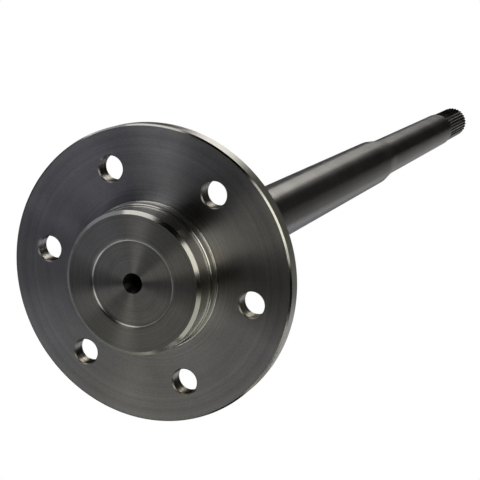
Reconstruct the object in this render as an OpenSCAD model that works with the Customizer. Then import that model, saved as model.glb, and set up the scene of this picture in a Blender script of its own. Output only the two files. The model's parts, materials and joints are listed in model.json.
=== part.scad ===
// Semi-floating axle shaft with a wheel flange, turned and splined from one forging.
// The axle stands on its hub nose: the origin is the centre of the nose face and +Z runs
// along the shaft to the splined end. All lengths are in millimetres.

/* [Hub nose] */
// Height of the hub nose above the wheel face of the flange
nose_h = 21.5; // [16:0.1:40]
// Diameter of the wheel pilot at the nose
wheel_pilot_d = 86.8; // [70:0.1:88]
// Radial width of the lead-in chamfer on the nose
nose_chamfer_w = 2.2; // [0.5:0.1:4]
// Height of the lead-in chamfer on the nose
nose_chamfer_h = 1.6; // [0.5:0.1:4]
// Diameter of the brake pilot at the foot of the nose
brake_pilot_d = 89.7; // [89.2:0.1:100]
// Height of the brake pilot above the wheel face
brake_pilot_h = 7.4; // [4:0.1:12]
// Chamfer on the edge of the brake pilot
brake_pilot_chamfer = 0.5; // [0.2:0.1:1]
// Fillet between the wheel pilot and the step of the brake pilot
pilot_fillet_r = 0.5; // [0.2:0.1:0.6]
// Fillet between the brake pilot and the wheel face
face_fillet_r = 0.8; // [0.4:0.1:2]
// Diameter of the shallow recess at its mouth in the nose face
recess_d = 55.4; // [40:0.1:70]
// Depth of the shallow recess
recess_depth = 1.2; // [0.4:0.1:2]
// Rounding of the recess edge
recess_edge_r = 2.4; // [1.2:0.1:4]
// Fillet at the foot of the recess
recess_fillet_r = 1.6; // [1:0.1:3]

/* [Turning centres] */
// Diameter of the centre in the nose at its mouth
nose_centre_d = 12.4; // [9:0.1:20]
// Diameter of the pilot drill below the centre in the nose
nose_drill_d = 6.4; // [3:0.1:8]
// Depth of the pilot drill in the nose
nose_drill_depth = 19; // [14:0.5:40]
// Diameter of the centre in the tip at its mouth
tip_centre_d = 9; // [6:0.1:12]
// Diameter of the pilot drill below the centre in the tip
tip_drill_d = 4; // [2:0.1:5]
// Depth of the pilot drill in the tip
tip_drill_depth = 12; // [8:0.5:30]
// Included angle of both centres
centre_angle = 60; // [60:30:90]
// Included angle of the drill point
drill_point_angle = 118; // [90:1:140]

/* [Flange] */
// Diameter of the wheel flange
flange_d = 182; // [165:0.1:220]
// Thickness of the wheel flange
flange_t = 10.4; // [8:0.1:16]
// Chamfer on the wheel side of the rim
rim_front_chamfer = 1; // [0.3:0.1:2]
// Chamfer on the shaft side of the rim
rim_back_chamfer = 0.8; // [0.3:0.1:2]
// Number of wheel stud holes
stud_count = 6; // [4:1:8]
// Diameter of the bolt circle
bolt_circle_d = 135; // [125:0.1:145]
// Diameter of a stud hole
stud_hole_d = 15.6; // [12:0.1:18]
// Chamfer at both mouths of a stud hole
stud_hole_chamfer = 0.7; // [0.2:0.1:1.5]

/* [Flange root] */
// Diameter of the forged boss behind the flange
root_boss_d = 64; // [60:0.5:90]
// Height of the forged boss behind the flange
root_boss_h = 4; // [2:0.5:8]
// Fillet between the boss and the back of the flange
boss_fillet_r = 2; // [0.5:0.5:3]
// Chamfer on the edge of the boss
boss_chamfer = 1; // [0.3:0.1:1.5]
// Fillet between the boss and the bearing journal
root_fillet_r = 8; // [3:0.5:8]

/* [Shaft] */
// Diameter of the ground bearing and seal journal
journal_d = 42; // [38:0.1:46]
// Wheel face to the inner end of the journal
journal_end = 118; // [80:1:200]
// Diameter of the thick part of the shaft
body_d = 41.5; // [34:0.1:45]
// Length of the cone from the journal down to the thick part
journal_cone_len = 1.5; // [0.5:0.1:4]
// Wheel face to the start of the taper
body_end = 486; // [300:1:560]
// Length of the taper
taper_len = 33; // [10:1:80]
// Diameter of the thin part of the shaft
thin_d = 35.5; // [28:0.1:40]

/* [Spline] */
// Number of spline teeth
spline_teeth = 31; // [25:1:35]
// Pitch diameter divided by the number of teeth
spline_module = 1.0583; // [0.9:0.0001:1.1]
// Pressure angle of the teeth
pressure_angle = 45; // [37.5:7.5:45]
// Height of a tooth above the pitch circle
spline_addendum = 0.47; // [0.3:0.01:0.5]
// Depth of a tooth space below the pitch circle
spline_dedendum = 0.75; // [0.5:0.01:0.8]
// Smallest width of the flat at the foot of a tooth space
spline_root_flat = 0.16; // [0.1:0.01:0.3]
// Wheel face to the end of the spline
spline_end = 850; // [750:1:950]
// Length of the spline at its full depth
spline_len = 76; // [40:1:110]
// Diameter of the hob that leaves the run-out
hob_d = 64; // [50:1:90]
// Length of the cone between the thin shaft and the spline
shoulder_len = 2.5; // [1:0.1:6]
// Chamfer on the end of the spline
spline_chamfer = 1; // [0.3:0.1:1.5]

/* [Retainer end] */
// Diameter at the floor of the retainer clip groove
clip_groove_d = 20.5; // [16:0.1:24]
// Width of the retainer clip groove
clip_groove_w = 4.6; // [3:0.1:8]
// Diameter of the button beyond the groove
button_d = 26; // [25:0.1:30]
// Thickness of the button
button_t = 4.4; // [3:0.1:10]
// Chamfer on the end of the button
button_chamfer = 0.8; // [0.3:0.1:1.5]

/* [Hidden] */

// Segments that draw a full circle
$fn = 128;
// Overrun of a cutter past the face that it cuts
overrun = 1;
// Steps along one flank of a tooth
flank_steps = 3;
// Steps along the rounded edge and foot of the recess
arc_steps = 6;

// Heights along the axis, from the nose face
wheel_face_z = nose_h;
brake_pilot_z = wheel_face_z - brake_pilot_h;
flange_back_z = wheel_face_z + flange_t;
boss_z = flange_back_z + root_boss_h;
journal_end_z = wheel_face_z + journal_end;
body_start_z = journal_end_z + journal_cone_len;
taper_start_z = wheel_face_z + body_end;
taper_end_z = taper_start_z + taper_len;
spline_end_z = wheel_face_z + spline_end;
hob_z = spline_end_z - spline_len;
button_z = spline_end_z + clip_groove_w;
tip_z = button_z + button_t;

// The recess falls in one smooth curve: its slope where the edge meets the fillet, and its flat floor
recess_slope = acos(1 - recess_depth / (recess_edge_r + recess_fillet_r));
recess_floor_r = recess_d / 2 - (recess_edge_r + recess_fillet_r) * sin(recess_slope);

// Radii of the spline
pitch_r = spline_teeth * spline_module / 2;
base_r = pitch_r * cos(pressure_angle);
major_r = pitch_r + spline_addendum;
minor_r = pitch_r - spline_dedendum;
thin_r = thin_d / 2;
cutter_r = max(major_r, thin_r) + overrun;
hob_axis_r = minor_r + hob_d / 2;

// Reach of the run-out along the shaft, where the shoulder starts
run_out_depth = thin_r - minor_r;
run_out_len = sqrt(hob_d * run_out_depth - run_out_depth * run_out_depth);
run_out_angle = acos((hob_axis_r - cutter_r) / (hob_d / 2));
shoulder_z = hob_z - run_out_len / 2;

// Points of an arc after its first one, from one angle to the other
function arc_points(centre, r, first, last) = [
    for (i = [1 : arc_steps])
        let (a = first + (last - first) * i / arc_steps)
        centre + r * [cos(a), sin(a)]
];

// Foot and edge of the recess, from its floor out to the nose face
recess_side = concat(
    arc_points([recess_floor_r, recess_depth - recess_fillet_r], recess_fillet_r, 90, 90 - recess_slope),
    arc_points([recess_d / 2, recess_edge_r], recess_edge_r, -90 - recess_slope, -90)
);

// Polar angle of an involute, in degrees, at the place where its pressure angle is a
function involute(a) = tan(a) * 180 / PI - a;

// Half angle of a tooth space at radius r: half the pitch is space on the pitch circle
function space_half_angle(r) =
    90 / spline_teeth - involute(pressure_angle) + involute(acos(base_r / r));

// Half width of a tooth space at radius r
function space_half_width(r) = max(r * sin(space_half_angle(r)), spline_root_flat / 2);

// One side of a tooth space, from its foot out past the shaft
space_side = [
    for (i = [0 : flank_steps])
        let (r = minor_r + (major_r - minor_r) * i / flank_steps)
        [r, space_half_width(r)],
    [cutter_r, space_half_width(major_r)]
];

// Section of a tooth space, centred on the x axis
module space_section() {
    mirrored = [for (i = [len(space_side) - 1 : -1 : 0]) [space_side[i].x, -space_side[i].y]];
    polygon(concat(space_side, mirrored));
}

// One tooth space: a straight groove, and the hob's round run-out at its inner end
module tooth_space() {
    translate([0, 0, hob_z])
        linear_extrude(height = spline_len + overrun)
            space_section();
    translate([hob_axis_r, 0, hob_z])
        rotate([90, 0, 180])
            rotate_extrude(angle = -run_out_angle)
                translate([hob_axis_r, 0])
                    mirror([1, 0])
                        space_section();
}

// Fills an inner corner of the turned profile. Toward gives the open side of the corner.
module corner_fillet(corner, r, toward) {
    difference() {
        translate([
            corner.x + (toward.x - 1) * r / 2 - (toward.x > 0 ? overrun : 0),
            corner.y + (toward.y - 1) * r / 2 - (toward.y > 0 ? overrun : 0)
        ])
            square(r + overrun);
        translate([corner.x + toward.x * r, corner.y + toward.y * r])
            circle(r);
    }
}

// Straight lines of the turned profile, from the nose face to the tip
module turned_outline() {
    polygon(concat([[0, recess_depth], [recess_floor_r, recess_depth]], recess_side, [
        [wheel_pilot_d / 2 - nose_chamfer_w, 0],
        [wheel_pilot_d / 2, nose_chamfer_h],
        [wheel_pilot_d / 2, brake_pilot_z],
        [brake_pilot_d / 2 - brake_pilot_chamfer, brake_pilot_z],
        [brake_pilot_d / 2, brake_pilot_z + brake_pilot_chamfer],
        [brake_pilot_d / 2, wheel_face_z],
        [flange_d / 2 - rim_front_chamfer, wheel_face_z],
        [flange_d / 2, wheel_face_z + rim_front_chamfer],
        [flange_d / 2, flange_back_z - rim_back_chamfer],
        [flange_d / 2 - rim_back_chamfer, flange_back_z],
        [root_boss_d / 2, flange_back_z],
        [root_boss_d / 2, boss_z - boss_chamfer],
        [root_boss_d / 2 - boss_chamfer, boss_z],
        [journal_d / 2, boss_z],
        [journal_d / 2, journal_end_z],
        [body_d / 2, body_start_z],
        [body_d / 2, taper_start_z],
        [thin_r, taper_end_z],
        [thin_r, shoulder_z],
        [major_r, shoulder_z + shoulder_len],
        [major_r, spline_end_z - spline_chamfer],
        [major_r - spline_chamfer, spline_end_z],
        [clip_groove_d / 2, spline_end_z],
        [clip_groove_d / 2, button_z],
        [button_d / 2, button_z],
        [button_d / 2, tip_z - button_chamfer],
        [button_d / 2 - button_chamfer, tip_z],
        [0, tip_z]
    ]));
}

// Turned profile with its fillets
module turned_profile() {
    turned_outline();
    corner_fillet([wheel_pilot_d / 2, brake_pilot_z], pilot_fillet_r, [1, -1]);
    corner_fillet([brake_pilot_d / 2, wheel_face_z], face_fillet_r, [1, -1]);
    corner_fillet([root_boss_d / 2, flange_back_z], boss_fillet_r, [1, 1]);
    corner_fillet([journal_d / 2, boss_z], root_fillet_r, [1, 1]);
}

// Pressed wheel studs pass through these holes, which are chamfered at both mouths
module stud_hole() {
    mouth_r = stud_hole_d / 2 + stud_hole_chamfer;
    translate([0, 0, wheel_face_z - overrun])
        cylinder(d = stud_hole_d, h = flange_t + 2 * overrun);
    translate([0, 0, wheel_face_z - overrun])
        cylinder(r1 = mouth_r + overrun, r2 = stud_hole_d / 2, h = stud_hole_chamfer + overrun);
    translate([0, 0, flange_back_z - stud_hole_chamfer])
        cylinder(r1 = stud_hole_d / 2, r2 = mouth_r + overrun, h = stud_hole_chamfer + overrun);
}

// Turning centre in a face at z = 0, drilled along +Z: a cone down to a pointed pilot drill
module turning_centre(mouth_d, drill_d, depth) {
    cone_slope = tan(centre_angle / 2);
    cone_depth = (mouth_d - drill_d) / 2 / cone_slope;
    point_depth = drill_d / 2 / tan(drill_point_angle / 2);
    rotate_extrude()
        polygon([
            [0, -overrun],
            [mouth_d / 2 + overrun * cone_slope, -overrun],
            [drill_d / 2, cone_depth],
            [drill_d / 2, depth],
            [0, depth + point_depth]
        ]);
}

// The whole axle: one turned forging, drilled and splined
module axle_shaft() {
    color("dimgray")
        difference() {
            rotate_extrude()
                turned_profile();
            for (i = [0 : stud_count - 1])
                rotate([0, 0, i * 360 / stud_count])
                    translate([bolt_circle_d / 2, 0, 0])
                        stud_hole();
            translate([0, 0, recess_depth])
                turning_centre(nose_centre_d, nose_drill_d, nose_drill_depth);
            translate([0, 0, tip_z])
                mirror([0, 0, 1])
                    turning_centre(tip_centre_d, tip_drill_d, tip_drill_depth);
            for (i = [0 : spline_teeth - 1])
                rotate([0, 0, i * 360 / spline_teeth])
                    tooth_space();
        }
}

axle_shaft();
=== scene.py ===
"""Looks of a flanged axle shaft: bare turned steel, standing on its hub nose.

The axle is one forging, so it is one piece, turned from its own outline with the stud holes
bored and the splines hobbed. Each machined surface has the finish that its tool leaves.
"""

import json
import math

import bmesh
import bpy
from mathutils import Matrix, Vector


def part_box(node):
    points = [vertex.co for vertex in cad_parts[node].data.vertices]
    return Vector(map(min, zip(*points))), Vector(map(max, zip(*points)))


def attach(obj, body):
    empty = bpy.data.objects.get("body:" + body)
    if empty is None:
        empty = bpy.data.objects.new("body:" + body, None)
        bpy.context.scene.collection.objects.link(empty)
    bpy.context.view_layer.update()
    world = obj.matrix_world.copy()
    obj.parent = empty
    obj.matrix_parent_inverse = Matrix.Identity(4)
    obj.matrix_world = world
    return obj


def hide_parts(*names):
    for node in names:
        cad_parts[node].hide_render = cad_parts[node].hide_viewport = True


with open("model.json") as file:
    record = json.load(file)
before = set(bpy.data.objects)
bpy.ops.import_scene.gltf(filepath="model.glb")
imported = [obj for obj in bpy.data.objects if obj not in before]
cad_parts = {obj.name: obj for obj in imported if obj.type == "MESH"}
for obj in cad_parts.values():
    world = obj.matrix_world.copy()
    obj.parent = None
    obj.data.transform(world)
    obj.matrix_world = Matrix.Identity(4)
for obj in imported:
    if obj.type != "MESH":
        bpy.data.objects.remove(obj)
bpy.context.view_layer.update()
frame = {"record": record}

# Blender works in metres. Sizes of the axle are written in millimetres.
MM = 0.001
BODY = "root"
NODE = "axle_shaft"


def mount_dims(name):
    """Dimensions of one of the part's mounts, in millimetres."""
    return next(m["dims"] for m in frame["record"]["mounts"] if m["name"] == name)


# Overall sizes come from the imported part
_, node_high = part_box(NODE)
FLANGE_R = node_high.x / MM
TIP_Z = node_high.z / MM
BOLT_CIRCLE_R = mount_dims("wheel_studs")["pcd_mm"] / 2
STUD_COUNT = mount_dims("wheel_studs")["count"]
STUD_HOLE_R = mount_dims("wheel_studs")["hole_r_mm"]
WHEEL_PILOT_R = mount_dims("wheel_pilot")["r_mm"]
BRAKE_PILOT_R = mount_dims("brake_pilot")["r_mm"]
JOURNAL_R = mount_dims("bearing_journal")["r_mm"]
CLIP_GROOVE_R = mount_dims("clip_groove")["r_mm"]

# Hub nose
NOSE_H = 21.5
NOSE_CHAMFER_W = 2.2
NOSE_CHAMFER_H = 1.6
BRAKE_PILOT_H = 7.4
BRAKE_PILOT_CHAMFER = 0.5
PILOT_FILLET_R = 0.5
FACE_FILLET_R = 0.8
RECESS_R = 27.7
RECESS_DEPTH = 1.2
RECESS_EDGE_R = 2.4
RECESS_FILLET_R = 1.6

# Turning centres: mouth radius, drill radius and drill depth
NOSE_CENTRE = (6.2, 3.2, 19.0)
TIP_CENTRE = (4.5, 2.0, 12.0)
CENTRE_HALF_ANGLE = math.radians(30)
DRILL_POINT_HALF_ANGLE = math.radians(59)

# Flange
FLANGE_T = 10.4
RIM_FRONT_CHAMFER = 1.0
RIM_BACK_CHAMFER = 0.8
STUD_HOLE_CHAMFER = 0.7
BOSS_R = 32.0
BOSS_H = 4.0
BOSS_FILLET_R = 2.0
BOSS_CHAMFER = 1.0
ROOT_FILLET_R = 8.0

# Shaft
JOURNAL_END = 118.0
JOURNAL_CONE_LEN = 1.5
BODY_R = 20.75
BODY_END = 486.0
TAPER_LEN = 33.0
THIN_R = 17.75

# Spline and retainer end
TEETH = 31
SPLINE_MODULE = 1.0583
PRESSURE_ANGLE = math.radians(45)
ADDENDUM = 0.47
DEDENDUM = 0.75
SPLINE_END = 850.0
SPLINE_LEN = 76.0
HOB_R = 32.0
SHOULDER_LEN = 2.5
SPLINE_CHAMFER = 1.0
CLIP_GROOVE_W = 4.6
BUTTON_R = 13.0
BUTTON_CHAMFER = 0.8

# Fineness of the mesh. A tooth has the steps of its flanks, and three more on each side for space and land.
FLANK_STEPS = 3
COLUMNS_PER_TOOTH = 2 * (FLANK_STEPS + 3)
TOOTH_PITCH = math.tau / TEETH
FILLET_STEPS = 6
HOLE_COLUMNS = 72
RUN_OUT_STEPS = 14
CHAMFER_STEPS = 4
SHARP_ANGLE = math.radians(24)
WELD = 0.0005 * MM

# A straight stretch that is longer than this has a point held close to each end, so that it shades flat
LONG_STRETCH = 1.0
HOLD = 0.25

# A face of the stud drill that leans along the axle by less than this is its wall
WALL_LEAN = 0.1

# Heights along the axle, from the nose face
WHEEL_FACE_Z = NOSE_H
BRAKE_PILOT_Z = WHEEL_FACE_Z - BRAKE_PILOT_H
FLANGE_BACK_Z = WHEEL_FACE_Z + FLANGE_T
BOSS_Z = FLANGE_BACK_Z + BOSS_H
JOURNAL_END_Z = WHEEL_FACE_Z + JOURNAL_END
TAPER_Z = WHEEL_FACE_Z + BODY_END
THIN_Z = TAPER_Z + TAPER_LEN
SPLINE_END_Z = WHEEL_FACE_Z + SPLINE_END
HOB_Z = SPLINE_END_Z - SPLINE_LEN
BUTTON_Z = SPLINE_END_Z + CLIP_GROOVE_W

# The recess falls in one smooth curve: its slope where the edge meets the fillet, and its flat floor
RECESS_SLOPE = math.acos(1 - RECESS_DEPTH / (RECESS_EDGE_R + RECESS_FILLET_R))
RECESS_FLOOR_R = RECESS_R - (RECESS_EDGE_R + RECESS_FILLET_R) * math.sin(RECESS_SLOPE)

# Radii of the spline, and the run-out that the hob leaves at the inner end of its grooves
PITCH_R = TEETH * SPLINE_MODULE / 2
BASE_R = PITCH_R * math.cos(PRESSURE_ANGLE)
MAJOR_R = PITCH_R + ADDENDUM
MINOR_R = PITCH_R - DEDENDUM
RUN_OUT_DEPTH = THIN_R - MINOR_R
RUN_OUT_LEN = math.sqrt(2 * HOB_R * RUN_OUT_DEPTH - RUN_OUT_DEPTH ** 2)
SHOULDER_Z = HOB_Z - RUN_OUT_LEN / 2

# The finish that its tool leaves on each machined surface: the steel's light and dark colours, its
# roughness and how far that spreads, the spacing and depth of the tool's marks in millimetres, and how
# far they draw out a highlight. Facing is 0 where the marks follow the height alone. The drilled centres'
# colours are painted shade: near black for the shade deep in those holes, not the steel's own colour.
FINISHES = {
    "faced_hub": dict(light=(0.43, 0.43, 0.42), dark=(0.31, 0.31, 0.31), roughness=0.4,
                      spread=0.02, feed=1.1, depth=0.02, anisotropy=1.0),
    "recess_edge": dict(light=(0.9, 0.9, 0.88), dark=(0.8, 0.8, 0.79), roughness=0.28,
                        spread=0.02, feed=0.8, depth=0.002, anisotropy=0.5),
    "faced_flange": dict(light=(0.5, 0.5, 0.52), dark=(0.36, 0.36, 0.39), roughness=0.36,
                         spread=0.02, feed=1.4, depth=0.015, anisotropy=1.0),
    "turned_pilot": dict(light=(0.94, 0.94, 0.92), dark=(0.84, 0.84, 0.83), roughness=0.22,
                         spread=0.02, feed=0.8, depth=0.004, anisotropy=0.8),
    "cut_edge": dict(light=(0.95, 0.95, 0.93), dark=(0.86, 0.86, 0.84), roughness=0.2,
                     spread=0.02, feed=0.8, depth=0.002, anisotropy=0.7),
    "turned_rim": dict(light=(0.68, 0.68, 0.67), dark=(0.58, 0.58, 0.57), roughness=0.36,
                       spread=0.03, feed=0.9, depth=0.01, anisotropy=0.4),
    "drilled_hole": dict(light=(0.5, 0.48, 0.45), dark=(0.22, 0.2, 0.18), roughness=0.34,
                         spread=0.04, feed=0.7, depth=0.02, anisotropy=0.0, facing=0.0),
    # Painted shade: the drilled centres are coloured near black to stand for the shade inside them
    "drilled_centre_painted_shade": dict(light=(0.14, 0.14, 0.14), dark=(0.06, 0.06, 0.06), roughness=0.3,
                           spread=0.04, feed=0.9, depth=0.02, anisotropy=0.5),
    "countersink": dict(light=(0.5, 0.48, 0.46), dark=(0.36, 0.35, 0.33), roughness=0.34,
                        spread=0.03, feed=0.6, depth=0.004, anisotropy=0.0),
    "rough_back": dict(light=(0.34, 0.34, 0.34), dark=(0.22, 0.22, 0.22), roughness=0.44,
                       spread=0.04, feed=1.8, depth=0.03, anisotropy=0.8),
    "ground_journal": dict(light=(0.6, 0.6, 0.59), dark=(0.5, 0.5, 0.5), roughness=0.22,
                           spread=0.02, feed=0.5, depth=0.002, anisotropy=0.7),
    "turned_shaft": dict(light=(0.48, 0.48, 0.5), dark=(0.38, 0.38, 0.4), roughness=0.34,
                         spread=0.02, feed=1.6, depth=0.004, anisotropy=0.8),
    "hobbed_spline": dict(light=(0.34, 0.34, 0.33), dark=(0.2, 0.2, 0.2), roughness=0.3,
                          spread=0.05, feed=1.0, depth=0.005, anisotropy=0.0),
}
SURFACES = list(FINISHES)


def arc(centre, radius, start, end):
    """Points of a fillet in the (radius, height) plane, from one angle to the other in degrees."""
    turns = [math.radians(start + (end - start) * i / FILLET_STEPS) for i in range(FILLET_STEPS + 1)]
    return [(centre[0] + radius * math.cos(a), centre[1] + radius * math.sin(a)) for a in turns]


def held(outline):
    """The outline with a point held close to each end of its long straight stretches."""
    points = [Vector(outline[0])]
    for point in map(Vector, outline[1:]):
        along = point - points[-1]
        if along.length > LONG_STRETCH:
            step = along.normalized() * HOLD
            points += [points[-1] + step, point - step]
        points.append(point)
    return points


def turn(bm, finish, outline):
    """Spins a stretch of the outline over one tooth's share of the turn, and returns its vertices."""
    first_vert = len(bm.verts)
    first_face = len(bm.faces)
    verts = [bm.verts.new((radius * MM, 0, height * MM)) for radius, height in held(outline)]
    edges = [bm.edges.new(pair) for pair in zip(verts, verts[1:])]
    bmesh.ops.spin(bm, geom=verts + edges, cent=(0, 0, 0), axis=(0, 0, 1),
                   angle=TOOTH_PITCH, steps=COLUMNS_PER_TOOTH)
    bm.verts.ensure_lookup_table()
    bm.faces.ensure_lookup_table()
    for face in bm.faces[first_face:]:
        face.material_index = SURFACES.index(finish)
    return bm.verts[first_vert:]


def turning_centre(centre, face_z, inward):
    """Outline of a centre in an end face, from its drill point out to its mouth."""
    mouth_r, drill_r, drill_depth = centre
    cone_depth = (mouth_r - drill_r) / math.tan(CENTRE_HALF_ANGLE)
    point_depth = drill_r / math.tan(DRILL_POINT_HALF_ANGLE)
    return [
        (0, face_z + inward * (drill_depth + point_depth)),
        (drill_r, face_z + inward * drill_depth),
        (drill_r, face_z + inward * cone_depth),
        (mouth_r, face_z),
    ]


def turn_hub(bm):
    """The nose with its shallow recess and the two pilots, up to the corner of the wheel face."""
    turn(bm, "drilled_centre_painted_shade", turning_centre(NOSE_CENTRE, RECESS_DEPTH, 1))
    turn(bm, "faced_hub", [
        (NOSE_CENTRE[0], RECESS_DEPTH),
        (RECESS_FLOOR_R, RECESS_DEPTH),
    ])
    slope = math.degrees(RECESS_SLOPE)
    foot = arc((RECESS_FLOOR_R, RECESS_DEPTH - RECESS_FILLET_R), RECESS_FILLET_R, 90, 90 - slope)
    edge = arc((RECESS_R, RECESS_EDGE_R), RECESS_EDGE_R, -90 - slope, -90)
    # Only the steepest part of the recess's wall is a bright line
    halfway = FILLET_STEPS // 2
    turn(bm, "faced_hub", foot[:halfway + 1])
    turn(bm, "recess_edge", foot[halfway:] + edge[1:2])
    turn(bm, "faced_hub", edge[1:])
    turn(bm, "faced_hub", [
        (RECESS_R, 0),
        (WHEEL_PILOT_R - NOSE_CHAMFER_W, 0),
    ])
    turn(bm, "cut_edge", [
        (WHEEL_PILOT_R - NOSE_CHAMFER_W, 0),
        (WHEEL_PILOT_R, NOSE_CHAMFER_H),
    ])
    turn(bm, "turned_pilot", [
        (WHEEL_PILOT_R, NOSE_CHAMFER_H),
        (WHEEL_PILOT_R, BRAKE_PILOT_Z - PILOT_FILLET_R),
    ])
    turn(bm, "cut_edge", arc(
        (WHEEL_PILOT_R + PILOT_FILLET_R, BRAKE_PILOT_Z - PILOT_FILLET_R), PILOT_FILLET_R, 180, 90,
    ))
    turn(bm, "faced_hub", [
        (WHEEL_PILOT_R + PILOT_FILLET_R, BRAKE_PILOT_Z),
        (BRAKE_PILOT_R - BRAKE_PILOT_CHAMFER, BRAKE_PILOT_Z),
    ])
    turn(bm, "cut_edge", [
        (BRAKE_PILOT_R - BRAKE_PILOT_CHAMFER, BRAKE_PILOT_Z),
        (BRAKE_PILOT_R, BRAKE_PILOT_Z + BRAKE_PILOT_CHAMFER),
    ])
    turn(bm, "turned_pilot", [
        (BRAKE_PILOT_R, BRAKE_PILOT_Z + BRAKE_PILOT_CHAMFER),
        (BRAKE_PILOT_R, WHEEL_FACE_Z - FACE_FILLET_R),
    ])
    turn(bm, "cut_edge", arc(
        (BRAKE_PILOT_R + FACE_FILLET_R, WHEEL_FACE_Z - FACE_FILLET_R), FACE_FILLET_R, 180, 90,
    ))


def turn_flange(bm):
    """The wheel face, the rim and the back, up to the forged boss."""
    turn(bm, "faced_flange", [
        (BRAKE_PILOT_R + FACE_FILLET_R, WHEEL_FACE_Z),
        (FLANGE_R - RIM_FRONT_CHAMFER, WHEEL_FACE_Z),
    ])
    turn(bm, "cut_edge", [
        (FLANGE_R - RIM_FRONT_CHAMFER, WHEEL_FACE_Z),
        (FLANGE_R, WHEEL_FACE_Z + RIM_FRONT_CHAMFER),
    ])
    turn(bm, "turned_rim", [
        (FLANGE_R, WHEEL_FACE_Z + RIM_FRONT_CHAMFER),
        (FLANGE_R, FLANGE_BACK_Z - RIM_BACK_CHAMFER),
    ])
    turn(bm, "cut_edge", [
        (FLANGE_R, FLANGE_BACK_Z - RIM_BACK_CHAMFER),
        (FLANGE_R - RIM_BACK_CHAMFER, FLANGE_BACK_Z),
    ])
    turn(bm, "rough_back", [(FLANGE_R - RIM_BACK_CHAMFER, FLANGE_BACK_Z)] + arc(
        (BOSS_R + BOSS_FILLET_R, FLANGE_BACK_Z + BOSS_FILLET_R), BOSS_FILLET_R, -90, -180,
    ) + [
        (BOSS_R, BOSS_Z - BOSS_CHAMFER),
        (BOSS_R - BOSS_CHAMFER, BOSS_Z),
    ] + arc(
        (JOURNAL_R + ROOT_FILLET_R, BOSS_Z + ROOT_FILLET_R), ROOT_FILLET_R, -90, -180,
    ))


def turn_shaft(bm):
    """The ground journal, the thick shaft, its taper and the thin shaft."""
    turn(bm, "ground_journal", [
        (JOURNAL_R, BOSS_Z + ROOT_FILLET_R),
        (JOURNAL_R, JOURNAL_END_Z),
    ])
    turn(bm, "turned_shaft", [
        (JOURNAL_R, JOURNAL_END_Z),
        (BODY_R, JOURNAL_END_Z + JOURNAL_CONE_LEN),
        (BODY_R, TAPER_Z),
        (THIN_R, THIN_Z),
        (THIN_R, HOB_Z - RUN_OUT_LEN),
    ])


def blank_radius(z):
    """Radius of the turned blank that the hob cuts, at height z."""
    if z < SHOULDER_Z:
        return THIN_R
    if z > SPLINE_END_Z - SPLINE_CHAMFER:
        return MAJOR_R - (z - (SPLINE_END_Z - SPLINE_CHAMFER))
    down = min((z - SHOULDER_Z) / SHOULDER_LEN, 1)
    return THIN_R + (MAJOR_R - THIN_R) * down


def space_half_angle(radius):
    """Half angle of a tooth space at a radius: half the pitch is space on the pitch circle."""
    def involute(angle):
        return math.tan(angle) - angle
    return TOOTH_PITCH / 4 - involute(PRESSURE_ANGLE) + involute(math.acos(BASE_R / radius))


def tooth_columns():
    """Angle and cut radius of each column of one tooth, from the middle of one space to the next."""
    step = (MAJOR_R - MINOR_R) / FLANK_STEPS
    half_pitch = TOOTH_PITCH / 2
    radii = [MINOR_R + step * i for i in range(FLANK_STEPS + 1)]
    flank = [(space_half_angle(radius), radius) for radius in radii]
    # The land's radius lies outside the blank, so the hob leaves it as turned
    land = [((flank[-1][0] + half_pitch) / 2, THIN_R), (half_pitch, THIN_R)]
    rising = [(0, MINOR_R)] + flank + land
    falling = [(2 * half_pitch - angle, radius) for angle, radius in reversed(rising[:-1])]
    return rising + falling


def hob_splines(bm):
    """Turns the spline's blank, then moves its columns to the flanks of the teeth."""
    run_out_z = HOB_Z - RUN_OUT_LEN
    stations = [run_out_z + RUN_OUT_LEN * i / RUN_OUT_STEPS for i in range(RUN_OUT_STEPS + 1)]
    stations += [SHOULDER_Z, SHOULDER_Z + SHOULDER_LEN]
    chamfer_z = SPLINE_END_Z - SPLINE_CHAMFER
    stations += [chamfer_z + SPLINE_CHAMFER * i / CHAMFER_STEPS for i in range(CHAMFER_STEPS + 1)]
    outline = [(blank_radius(z), z) for z in sorted(stations)]
    verts = turn(bm, "hobbed_spline", outline + [(CLIP_GROOVE_R, SPLINE_END_Z)])
    columns = tooth_columns()
    for vert in verts:
        radius = vert.co.xy.length / MM
        z = vert.co.z / MM
        if radius < MINOR_R or z < run_out_z + HOLD:
            continue
        column = round(math.atan2(vert.co.y, vert.co.x) / TOOTH_PITCH * COLUMNS_PER_TOOTH)
        angle, cut_radius = columns[column]
        short = max(HOB_Z - z, 0)
        lift = HOB_R - math.sqrt(HOB_R ** 2 - short ** 2)
        radius = min(radius, cut_radius + lift)
        vert.co.xy = Vector((math.cos(angle), math.sin(angle))) * radius * MM


def turn_tip(bm):
    """The groove for the retainer clip, and the button with its turning centre."""
    turn(bm, "turned_shaft", [
        (CLIP_GROOVE_R, SPLINE_END_Z),
        (CLIP_GROOVE_R, BUTTON_Z),
        (BUTTON_R, BUTTON_Z),
        (BUTTON_R, TIP_Z - BUTTON_CHAMFER),
        (BUTTON_R - BUTTON_CHAMFER, TIP_Z),
        (TIP_CENTRE[0], TIP_Z),
    ])
    turn(bm, "drilled_centre_painted_shade", turning_centre(TIP_CENTRE, TIP_Z, -1)[::-1])


def copy_round(bm, count):
    """Repeats what has been made, evenly round the axle."""
    bmesh.ops.spin(bm, geom=bm.faces[:], cent=(0, 0, 0), axis=(0, 0, 1), use_duplicate=True,
                   angle=math.tau * (count - 1) / count, steps=count - 1)


def weld(bm):
    """Closes the seams and poles of a turned form, and points its faces outwards."""
    bmesh.ops.remove_doubles(bm, verts=bm.verts, dist=WELD)
    bmesh.ops.dissolve_degenerate(bm, edges=bm.edges, dist=WELD)
    bmesh.ops.recalc_face_normals(bm, faces=bm.faces)


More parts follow.
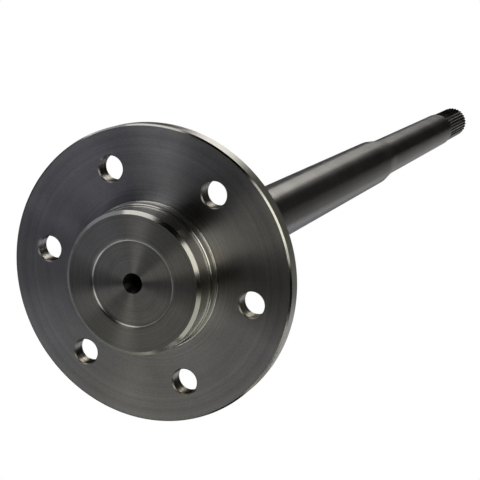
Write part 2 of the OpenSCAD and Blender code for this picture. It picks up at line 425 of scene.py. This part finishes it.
def new_object(name, bm, materials):
    """An object at the origin that holds the mesh."""
    mesh = bpy.data.meshes.new(name)
    bm.to_mesh(mesh)
    bm.free()
    for material in materials:
        mesh.materials.append(material)
    piece = bpy.data.objects.new(name, mesh)
    bpy.context.scene.collection.objects.link(piece)
    return piece


def stud_hole_cutter(materials):
    """The six drills for the stud holes, each with a countersink at both mouths."""
    reach = STUD_HOLE_CHAMFER * 2
    outline = [
        (0, WHEEL_FACE_Z - STUD_HOLE_CHAMFER),
        (STUD_HOLE_R + reach, WHEEL_FACE_Z - STUD_HOLE_CHAMFER),
        (STUD_HOLE_R, WHEEL_FACE_Z + STUD_HOLE_CHAMFER),
        (STUD_HOLE_R, FLANGE_BACK_Z - STUD_HOLE_CHAMFER),
        (STUD_HOLE_R + reach, FLANGE_BACK_Z + STUD_HOLE_CHAMFER),
        (0, FLANGE_BACK_Z + STUD_HOLE_CHAMFER),
    ]
    bm = bmesh.new()
    verts = [bm.verts.new(((BOLT_CIRCLE_R + radius) * MM, 0, z * MM)) for radius, z in outline]
    edges = [bm.edges.new(pair) for pair in zip(verts, verts[1:])]
    bmesh.ops.spin(bm, geom=verts + edges, cent=(BOLT_CIRCLE_R * MM, 0, 0), axis=(0, 0, 1),
                   angle=math.tau, steps=HOLE_COLUMNS, use_merge=True)
    weld(bm)
    for face in bm.faces:
        wall = abs(face.normal.z) < WALL_LEAN
        face.material_index = SURFACES.index("drilled_hole" if wall else "countersink")
    copy_round(bm, STUD_COUNT)
    return new_object("stud_hole_cutter", bm, materials)


def bore_stud_holes(piece, materials):
    """Cuts the stud holes through the flange and keeps the result as the piece's own mesh."""
    cutter = stud_hole_cutter(materials)
    boolean = piece.modifiers.new("stud_holes", "BOOLEAN")
    boolean.operation = "DIFFERENCE"
    boolean.solver = "EXACT"
    boolean.object = cutter
    depsgraph = bpy.context.evaluated_depsgraph_get()
    bored = bpy.data.meshes.new_from_object(piece.evaluated_get(depsgraph))
    piece.modifiers.clear()
    old = piece.data
    piece.data = bored
    bored.name = old.name
    bpy.data.meshes.remove(old)
    bpy.data.meshes.remove(cutter.data)


def machine_axle(materials):
    """The whole axle as one closed mesh, with a material for each machined surface."""
    bm = bmesh.new()
    turn_hub(bm)
    turn_flange(bm)
    turn_shaft(bm)
    hob_splines(bm)
    turn_tip(bm)
    copy_round(bm, TEETH)
    weld(bm)
    piece = new_object("axle_shaft_turned", bm, materials)
    bore_stud_holes(piece, materials)
    piece.data.polygons.foreach_set("use_smooth", [True] * len(piece.data.polygons))
    piece.data.set_sharp_from_angle(angle=SHARP_ANGLE)
    return piece


# Sockets of a Mix node that blends colours: they go by number, because their names repeat
MIX_FACTOR = 0
MIX_FIRST = 6
MIX_SECOND = 7
MIX_RESULT = 2


class Nodes:
    """Adds nodes to a tree and joins their sockets."""

    def __init__(self, tree):
        self.tree = tree

    def add(self, kind, values=None, **settings):
        """A node with its settings, and its sockets set to values or joined to other sockets."""
        node = self.tree.nodes.new(kind)
        for name, value in settings.items():
            setattr(node, name, value)
        for name, value in (values or {}).items():
            socket = node.inputs[name]
            if isinstance(value, bpy.types.NodeSocket):
                self.tree.links.new(value, socket)
            else:
                socket.default_value = value
        return node

    def math(self, operation, first, second):
        """Value of a sum, product or the like of two values."""
        return self.add("ShaderNodeMath", {0: first, 1: second}, operation=operation).outputs[0]

    def blend(self, factor, first, second, kind="MIX"):
        """Colour between two colours, or their product where the kind is MULTIPLY."""
        values = {MIX_FACTOR: factor, MIX_FIRST: first, MIX_SECOND: second}
        node = self.add("ShaderNodeMix", values, data_type="RGBA", blend_type=kind)
        return node.outputs[MIX_RESULT]

    def ranged(self, value, given, made=(0.0, 1.0), shape="LINEAR"):
        """Value carried from one range to another, and held inside it."""
        ends = {"From Min": given[0], "From Max": given[1], "To Min": made[0], "To Max": made[1]}
        node = self.add("ShaderNodeMapRange", {"Value": value, **ends}, interpolation_type=shape)
        return node.outputs[0]


def new_group(name, inputs, outputs):
    """A shader node group with named sockets, and its input and output nodes."""
    tree = bpy.data.node_groups.new(name, "ShaderNodeTree")
    for label, default in inputs.items():
        socket = tree.interface.new_socket(label, in_out="INPUT", socket_type="NodeSocketFloat")
        socket.default_value = default
    for label in outputs:
        tree.interface.new_socket(label, in_out="OUTPUT", socket_type="NodeSocketFloat")
    nodes = Nodes(tree)
    return nodes, nodes.add("NodeGroupInput").outputs, nodes.add("NodeGroupOutput").inputs


# Noise along the cut: the tool's fine rings, and broader bands of deeper and shallower ones
FINE_RINGS = {"Scale": 1.0, "Detail": 4.0, "Roughness": 0.6}
BROAD_BANDS = {"Scale": 0.35, "Detail": 3.0}


def lathe_marks_group():
    """Rings that a lathe tool leaves: the same all round the axle, uneven along the cut."""
    nodes, given, out = new_group("lathe_marks", {"Feed": 1.0, "Facing": 1.0}, ["Height", "Band"])
    place = nodes.add("ShaderNodeTexCoord").outputs["Object"]
    flat = nodes.add("ShaderNodeVectorMath", {0: place, 1: (1, 1, 0)}, operation="MULTIPLY").outputs[0]
    radius = nodes.add("ShaderNodeVectorMath", {0: flat}, operation="LENGTH").outputs["Value"]
    height = nodes.add("ShaderNodeSeparateXYZ", {0: place}).outputs["Z"]
    along = nodes.math("ADD", nodes.math("MULTIPLY", radius, given["Facing"]), height)
    turns = nodes.math("DIVIDE", nodes.math("MULTIPLY", along, 1 / MM), given["Feed"])
    fine = nodes.add("ShaderNodeTexNoise", {"W": turns, **FINE_RINGS}, noise_dimensions="1D")
    broad = nodes.add("ShaderNodeTexNoise", {"W": turns, **BROAD_BANDS}, noise_dimensions="1D")
    nodes.tree.links.new(fine.outputs[0], out["Height"])
    nodes.tree.links.new(broad.outputs[0], out["Band"])
    return nodes.tree


# The oil film lies in patches, in millimetres, with specks in each
PATCH_SIZE = 20.0
PATCH_DETAIL = 3.0
SPECKS_PER_PATCH = 18.0
SPECK_DETAIL = 2.0

# Painted light colour: the steel is tinted cool on one side of the axle, as cool light falling there would
# make it, and drifts over this width to a warm tint on the other side
PAINTED_COOL_SIDE = Vector((-0.84, -0.54, 0))
PAINTED_TINT_WIDTH = 0.08
PAINTED_TINT_DRIFT = (0.1, 0.9)
PAINTED_COOL_TINT = (0.96, 0.96, 1.0, 1)
PAINTED_WARM_TINT = (1.0, 0.98, 0.89, 1)


def film_and_painted_tint_group():
    """Soft patches where oil and handling have left the steel darker and duller, and a painted tint of
    light:
    cool on one side of the axle, warm on the other, and moved about by the patches.
    """
    nodes, given, out = new_group("film_and_painted_tint", {"Patch size": PATCH_SIZE}, ["Film", "Speck", "Cool"])
    place = nodes.add("ShaderNodeTexCoord").outputs["Object"]
    scale = nodes.math("DIVIDE", 1 / MM, given["Patch size"])
    patches = {"Vector": place, "Scale": scale, "Detail": PATCH_DETAIL}
    film = nodes.add("ShaderNodeTexNoise", patches).outputs[0]
    speck_scale = nodes.math("MULTIPLY", scale, SPECKS_PER_PATCH)
    specks = {"Vector": place, "Scale": speck_scale, "Detail": SPECK_DETAIL}
    speck = nodes.add("ShaderNodeTexNoise", specks).outputs[0]
    # Painted light: the tint follows the side of the axle, cool on the one side and warm on the other
    side = nodes.add("ShaderNodeVectorMath", {0: place, 1: PAINTED_COOL_SIDE}, operation="DOT_PRODUCT")
    drift = nodes.math("ADD", nodes.math("DIVIDE", side.outputs["Value"], PAINTED_TINT_WIDTH), film)
    nodes.tree.links.new(film, out["Film"])
    nodes.tree.links.new(speck, out["Speck"])
    nodes.tree.links.new(nodes.ranged(drift, PAINTED_TINT_DRIFT), out["Cool"])
    return nodes.tree


LATHE_MARKS = lathe_marks_group()
FILM_AND_PAINTED_TINT = film_and_painted_tint_group()


# The steel is light where its rings and patches add up to much, and dull where the film is thick
WEAR_RANGE = (1.6, 2.4)
FILM_RANGE = (0.3, 0.7)

# A quarter of a turn, so that highlights are drawn out across the tool's rings
ACROSS_RINGS = 0.25


def steel(name, light, dark, roughness, spread, feed, depth, anisotropy, facing=1.0):
    """Bare steel as a tool leaves it, with the values that FINISHES explains, under an oil film and a
    painted light tint. The tool's marks are rings that follow the radius on a face and the height on a
    cylinder."""
    material = bpy.data.materials.new(name)
    material.use_nodes = True
    nodes = Nodes(material.node_tree)
    shader = material.node_tree.nodes["Principled BSDF"]
    marks = nodes.add("ShaderNodeGroup", {"Feed": feed, "Facing": facing}, node_tree=LATHE_MARKS).outputs
    film = nodes.add("ShaderNodeGroup", node_tree=FILM_AND_PAINTED_TINT).outputs
    rings = nodes.math("ADD", marks["Height"], marks["Band"])
    patches = nodes.math("ADD", film["Film"], film["Speck"])
    wear = nodes.ranged(nodes.math("ADD", rings, patches), WEAR_RANGE)
    bare = nodes.blend(wear, (*dark, 1), (*light, 1))
    # Painted light tint, cool on one side of the axle and warm on the other
    tint = nodes.blend(film["Cool"], PAINTED_WARM_TINT, PAINTED_COOL_TINT)
    colour = nodes.blend(1.0, bare, tint, "MULTIPLY")
    dull = nodes.ranged(film["Film"], FILM_RANGE, (roughness - spread, roughness + spread))
    relief = {"Height": marks["Height"], "Strength": 1.0, "Distance": depth * MM}
    bump = nodes.add("ShaderNodeBump", relief)
    tangent = nodes.add("ShaderNodeTangent", direction_type="RADIAL", axis="Z")
    links = material.node_tree.links
    links.new(colour, shader.inputs["Base Color"])
    links.new(dull, shader.inputs["Roughness"])
    links.new(bump.outputs[0], shader.inputs["Normal"])
    links.new(tangent.outputs[0], shader.inputs["Tangent"])
    shader.inputs["Metallic"].default_value = 1.0
    shader.inputs["Anisotropic"].default_value = anisotropy
    shader.inputs["Anisotropic Rotation"].default_value = ACROSS_RINGS
    return material


def axle_materials():
    """One steel for each machined surface, in the order of SURFACES."""
    return [steel(name, **look) for name, look in FINISHES.items()]


# Camera: the photograph looks along the axle from beyond its hub
CAMERA_PLACE = Vector((0.283815, -0.227794, -0.632972))
CAMERA_FORWARD = Vector((-0.31944, 0.26629, 0.90942))
CAMERA_UP = Vector((-0.24098, -0.95098, 0.19381))
CAMERA_LENS = 93.807
CAMERA_SENSOR = 36
CAMERA_CLIP = (0.01, 50)


def set_camera():
    """The camera at the photograph's place."""
    camera = bpy.data.cameras.new("camera")
    camera.lens = CAMERA_LENS
    camera.sensor_width = CAMERA_SENSOR
    camera.clip_start, camera.clip_end = CAMERA_CLIP
    item = bpy.data.objects.new("camera", camera)
    bpy.context.scene.collection.objects.link(item)
    right = CAMERA_FORWARD.cross(CAMERA_UP).normalized()
    up = right.cross(CAMERA_FORWARD).normalized()
    turned = Matrix((right, up, -CAMERA_FORWARD.normalized())).transposed()
    item.matrix_world = Matrix.Translation(CAMERA_PLACE) @ turned.to_4x4()
    bpy.context.scene.camera = item


# Floor: its width, its gap under the nose, and how far out it fades into the white, in metres
FLOOR_SIZE = 4.0
FLOOR_GAP = 0.0004
FLOOR_FADE = (0.5, 1.6)
FLOOR_GRAIN = 30.0
FLOOR_GREYS = (0.86, 0.9)
FLOOR_ROUGHNESS = 0.9
FLOOR_SHEEN = 0.1


def lay_floor():
    """A pale floor under the nose that fades into the white round it. It is clear from below, so that
    the camera can look up at the hub."""
    bm = bmesh.new()
    bmesh.ops.create_grid(bm, x_segments=1, y_segments=1, size=FLOOR_SIZE / 2)
    bmesh.ops.translate(bm, verts=bm.verts, vec=(0, 0, -FLOOR_GAP))
    material = bpy.data.materials.new("studio_floor")
    material.use_nodes = True
    nodes = Nodes(material.node_tree)
    shader = material.node_tree.nodes["Principled BSDF"]
    place = nodes.add("ShaderNodeTexCoord").outputs["Object"]
    grain = nodes.add("ShaderNodeTexNoise", {"Vector": place, "Scale": FLOOR_GRAIN}).outputs[0]
    pale = nodes.ranged(grain, (0.0, 1.0), FLOOR_GREYS)
    material.node_tree.links.new(pale, shader.inputs["Base Color"])
    shader.inputs["Roughness"].default_value = FLOOR_ROUGHNESS
    shader.inputs["Specular IOR Level"].default_value = FLOOR_SHEEN
    below = nodes.add("ShaderNodeNewGeometry").outputs["Backfacing"]
    away = nodes.add("ShaderNodeVectorMath", {0: place}, operation="LENGTH").outputs["Value"]
    faded = nodes.ranged(away, FLOOR_FADE, shape="SMOOTHSTEP")
    hidden = nodes.math("MAXIMUM", below, faded)
    clear = nodes.add("ShaderNodeBsdfTransparent").outputs[0]
    seen = nodes.add("ShaderNodeMixShader", {0: hidden, 1: shader.outputs[0], 2: clear})
    output = material.node_tree.nodes["Material Output"]
    material.node_tree.links.new(seen.outputs[0], output.inputs["Surface"])
    floor = new_object("studio_floor", bm, [material])
    floor.visible_shadow = False
    floor.visible_diffuse = False
    floor.visible_glossy = False
    floor.visible_transmission = False


# World: its plain light on the floor, and the white that the steel mirrors straight behind the axle,
# which fades out between two angles from the camera's direction, held as cosines
AMBIENT = 0.6
BACKDROP_FADE = (math.cos(math.radians(11)), math.cos(math.radians(5)))


def set_world():
    """White behind the axle, for the camera and in what the steel mirrors, and plain light on the floor."""
    world = bpy.data.worlds.new("studio")
    world.use_nodes = True
    bpy.context.scene.world = world
    nodes = Nodes(world.node_tree)
    path = nodes.add("ShaderNodeLightPath").outputs
    direction = nodes.add("ShaderNodeTexCoord").outputs["Generated"]
    toward = nodes.add("ShaderNodeVectorMath", {0: direction, 1: CAMERA_FORWARD}, operation="DOT_PRODUCT")
    backdrop = nodes.ranged(toward.outputs["Value"], BACKDROP_FADE, shape="SMOOTHSTEP")
    mirrored = nodes.math("ADD", path["Is Glossy Ray"], path["Is Transmission Ray"])
    seen = nodes.math("ADD", path["Is Camera Ray"], nodes.math("MULTIPLY", mirrored, backdrop))
    level = nodes.math("ADD", seen, nodes.math("MULTIPLY", path["Is Diffuse Ray"], AMBIENT))
    background = world.node_tree.nodes["Background"]
    background.inputs["Color"].default_value = (1, 1, 1, 1)
    world.node_tree.links.new(level, background.inputs["Strength"])


# Softboxes stand round the axle and face this point low on it
LAMP_CENTRE = Vector((0, 0, 0.15))

# Colours of the softboxes
WARM = (1, 0.97, 0.88)
NEUTRAL = (1, 1, 0.95)
COOL = (0.92, 0.92, 1)

# Each softbox: its compass angle round the axle and its angle down from the splined end, in degrees,
# its distance, width and height in metres, its brightness and its colour
SOFTBOXES = {
    "left_strip": (-120, 113, 1.8, 0.9, 2.0, 0.6, WARM),
    "camera_strip": (-34, 134, 1.8, 0.9, 1.3, 0.75, WARM),
    "over_camera": (-34, 114, 1.8, 1.5, 0.5, 0.6, NEUTRAL),
    "right_strip": (43, 125, 1.8, 1.3, 1.4, 0.38, NEUTRAL),
    "low_near": (100, 135, 0.75, 0.8, 0.5, 0.3, NEUTRAL),
    "low_close": (125, 130, 0.4, 0.5, 0.2, 0.3, NEUTRAL),
    "high_close": (-140, 130, 0.4, 0.4, 0.2, 0.1, COOL),
    "low_right_spot": (65, 150, 1.8, 0.25, 0.25, 1.5, COOL),
    "low_left_spot": (110, 150, 1.8, 0.25, 0.25, 0.8, COOL),
    "top_left_spot": (-135, 150, 1.8, 0.25, 0.25, 1.2, WARM),
    "left_near": (150, 140, 0.75, 0.5, 0.5, 0.12, COOL),
    "left_fill": (-160, 104, 1.8, 1.8, 1.2, 0.11, NEUTRAL),
    "edge_fill": (128, 86, 1.8, 3.6, 1.0, 0.1, NEUTRAL),
    "top_back": (-98, 42, 1.2, 0.5, 0.45, 2.8, WARM),
    "top": (-77, 58, 1.8, 0.7, 0.6, 1.2, WARM),
    "right_back": (56, 34, 1.8, 1.0, 0.5, 0.8, COOL),
    "beyond_tip": (48, 14, 2.2, 0.8, 0.6, 0.5, NEUTRAL),
    "side_left": (-130, 76, 1.8, 1.6, 0.9, 0.8, NEUTRAL),
    "side_right": (40, 84, 1.8, 1.6, 0.6, 0.7, NEUTRAL),
    "rim_close": (-27, 98, 0.15, 0.16, 0.1, 0.15, NEUTRAL),
}


def softbox(name, azimuth, polar, distance, width, height, brightness, colour):
    """A soft lamp that faces the axle and isn't itself in the picture."""
    lamp = bpy.data.lights.new(name, "AREA")
    lamp.shape = "RECTANGLE"
    lamp.size = height
    lamp.size_y = width
    lamp.energy = brightness * math.pi * width * height
    lamp.color = colour
    item = bpy.data.objects.new(name, lamp)
    bpy.context.scene.collection.objects.link(item)
    turned = Matrix.Rotation(math.radians(azimuth), 3, "Z") @ Matrix.Rotation(math.radians(polar), 3, "Y")
    place = LAMP_CENTRE + turned @ Vector((0, 0, distance))
    item.matrix_world = Matrix.Translation(place) @ turned.to_4x4()
    item.visible_camera = False


def light_studio():
    """The softboxes round the axle."""
    for name, values in SOFTBOXES.items():
        softbox(name, *values)


bpy.context.scene.view_settings.view_transform = "Standard"
set_camera()
set_world()
light_studio()
lay_floor()
axle = machine_axle(axle_materials())
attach(axle, BODY)
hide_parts(NODE)
